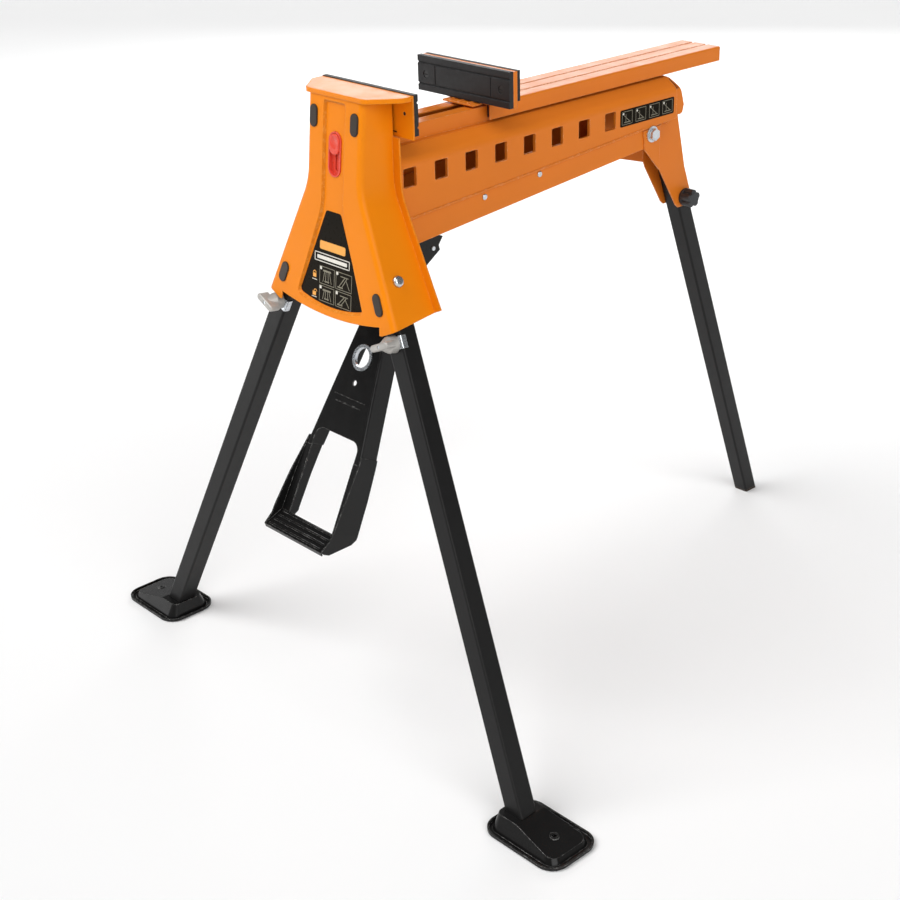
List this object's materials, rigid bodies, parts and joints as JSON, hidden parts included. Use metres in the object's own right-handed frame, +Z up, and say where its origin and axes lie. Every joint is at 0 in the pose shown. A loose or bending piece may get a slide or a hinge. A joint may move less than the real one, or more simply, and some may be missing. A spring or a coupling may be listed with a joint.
{
  "type": "folding sawhorse",
  "caption": "Folding steel work stand: a foot pedal clamps work between a fixed head jaw and a jaw on a sliding arm; three box-section legs fold under the beam",
  "frame": {"origin": "middle of the footprint on the floor, halfway across the stand and halfway from its front feet to its rear foot", "axes": "+Z up; +X to the right of someone who stands at the pedal and faces the stand; +Y from the head back along the beam"},
  "size_m": [0.9714, 1.0408, 0.885],
  "materials": {
    "orange_paint": "gloss powder coat",
    "black_paint": "gloss black coat",
    "pad_rubber": "matt",
    "red_plastic": "gloss",
    "black_plastic": "fine grain",
    "zinc_steel": "bright zinc",
    "black_steel": "black oxide",
    "bar_steel": "drawn steel",
    "cast_alloy": "cast, tumbled"
  },
  "bodies": {
    "frame": {"head_shell": "orange_paint", "head_deck": "orange_paint", "head_plugs": "pad_rubber", "switch_bezel": "red_plastic", "fixed_jaw_plate": "orange_paint", "fixed_jaw_pad": "pad_rubber", "fixed_jaw_screws": "black_steel", "beam_shell": "orange_paint", "beam_pan": "orange_paint", "beam_cross_pins": "zinc_steel", "beam_end_cap": "orange_paint", "rail_glides": "black_plastic", "bar_guide": "black_plastic", "pedal_bracket": "black_paint", "pedal_shaft": "zinc_steel", "bracket_screws": "zinc_steel", "return_springs": "zinc_steel", "leg_bolts": "zinc_steel", "leg_washers": "zinc_steel", "rear_bracket": "orange_paint", "rear_bracket_bolts": "zinc_steel", "rear_bracket_washers": "zinc_steel", "rear_pivot_pin": "zinc_steel"},
    "moving_jaw": {"sliding_arm": "orange_paint", "arm_glides": "black_plastic", "moving_jaw_pad": "pad_rubber", "moving_jaw_plate": "orange_paint", "moving_jaw_screws": "black_steel", "rear_jaw_pad": "pad_rubber", "clutch_housing": "zinc_steel", "clutch_plates": "zinc_steel"},
    "pedal": {"pedal_plate": "black_paint", "pedal_eyelet": "zinc_steel", "pedal_stirrup": "black_paint", "pedal_tread_ribs": "pad_rubber", "pedal_lever": "black_paint", "pedal_hub": "black_paint", "pedal_cheeks": "black_paint", "lever_tail_pin": "zinc_steel"},
    "drive": {"drive_bar": "bar_steel", "drive_pin": "zinc_steel"},
    "lock_switch": {"switch_thumb": "red_plastic", "switch_latch": "red_plastic"},
    "leg_right": {"leg_tube_right": "black_paint", "leg_clamp_right": "zinc_steel", "foot_pad_right": "black_paint"},
    "leg_left": {"leg_tube_left": "black_paint", "leg_clamp_left": "zinc_steel", "foot_pad_left": "black_paint"},
    "wing_right": {"wing_screw_right": "cast_alloy"},
    "wing_left": {"wing_screw_left": "cast_alloy"},
    "leg_rear": {"rear_leg_tube": "black_paint", "rear_leg_cap": "black_plastic"},
    "knob_rear": {"rear_knob": "black_plastic"}
  },
  "joints": [
    {"name": "jaw_slide", "type": "slide", "parent": "frame", "child": "moving_jaw", "axis": [0, 1, 0], "range_m": [-0.1595, 0.2653]},
    {"name": "pedal_press", "type": "hinge", "parent": "frame", "child": "pedal", "pos_m": [0, -0.35626, 0.635], "axis": [1, 0, 0], "range_deg": [0, 25], "stiffness_Nm_per_rad": 9, "springref_deg": -20.05},
    {"name": "drive_pull", "type": "slide", "parent": "frame", "child": "drive", "axis": [0, -1, 0], "range_m": [0, 0.05119]},
    {"name": "lock_switch_slide", "type": "slide", "parent": "frame", "child": "lock_switch", "axis": [0, -0.108, -0.9942], "range_m": [0, 0.026]},
    {"name": "leg_right_fold", "type": "hinge", "parent": "frame", "child": "leg_right", "pos_m": [0.087, -0.40136, 0.65163], "axis": [0.9045, 0.0461, 0.4241], "range_deg": [0, 92]},
    {"name": "leg_left_fold", "type": "hinge", "parent": "frame", "child": "leg_left", "pos_m": [-0.087, -0.40136, 0.65163], "axis": [0.9045, -0.0461, -0.4241], "range_deg": [0, 92]},
    {"name": "wing_right_turn", "type": "hinge", "parent": "leg_right", "child": "wing_right", "pos_m": [0.11899, -0.40869, 0.58419], "axis": [0, -0.9942, 0.108], "range_deg": [0, 180]},
    {"name": "wing_left_turn", "type": "hinge", "parent": "leg_left", "child": "wing_left", "pos_m": [-0.11899, -0.40869, 0.58419], "axis": [0, -0.9942, 0.108], "range_deg": [0, 180]},
    {"name": "leg_rear_fold", "type": "hinge", "parent": "frame", "child": "leg_rear", "pos_m": [0, 0.22404, 0.738], "axis": [1, 0, 0], "range_deg": [-76, 0]},
    {"name": "knob_rear_turn", "type": "hinge", "parent": "frame", "child": "knob_rear", "pos_m": [0, 0.27521, 0.604], "axis": [1, 0, 0], "range_deg": [0, 180]}
  ],
  "couplings": [
    {"joint": "drive_pull", "follows": "pedal_press", "m_per_rad": 0.11686}
  ]
}
